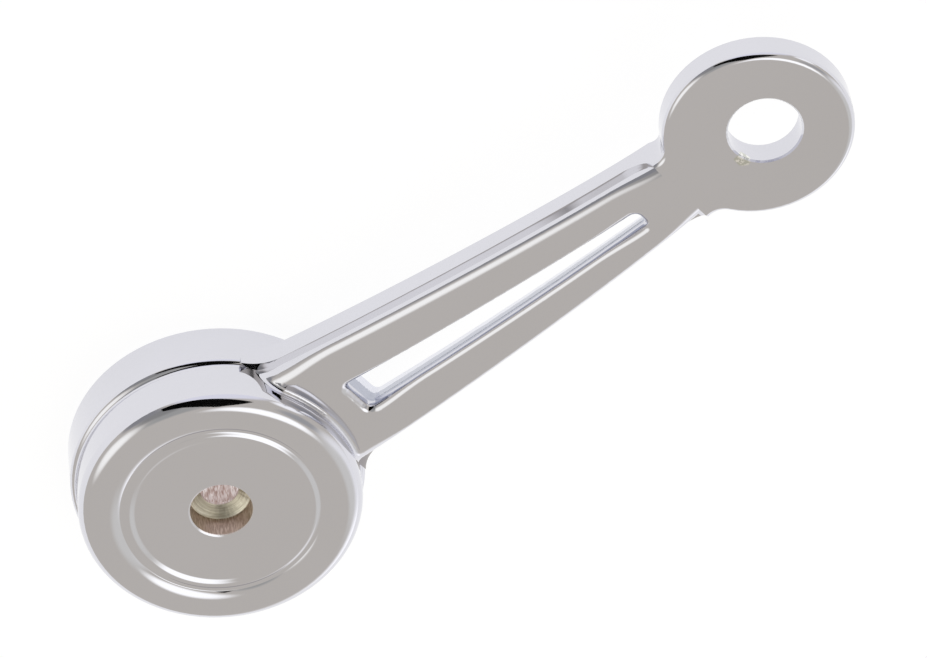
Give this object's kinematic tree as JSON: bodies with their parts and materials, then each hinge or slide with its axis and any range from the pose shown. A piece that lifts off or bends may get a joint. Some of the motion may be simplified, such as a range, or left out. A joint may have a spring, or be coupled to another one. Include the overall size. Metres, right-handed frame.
{
  "type": "window crank handle",
  "caption": "Chrome plated cast window crank handle: round splined hub with a screw well, arched two-tier slotted arm and a drilled round eye for a knob.",
  "frame": {"origin": "on the hub axis, in the plane of the hub's door-side face", "axes": "+Z along the hub axis from the door towards the room, +X along the arm from the hub to the eye"},
  "size_m": [0.1335, 0.0424, 0.0216],
  "materials": {
    "plated_metal": "bright chrome plate"
  },
  "bodies": {
    "root": {"crank_handle": "plated_metal"}
  },
  "joints": []
}
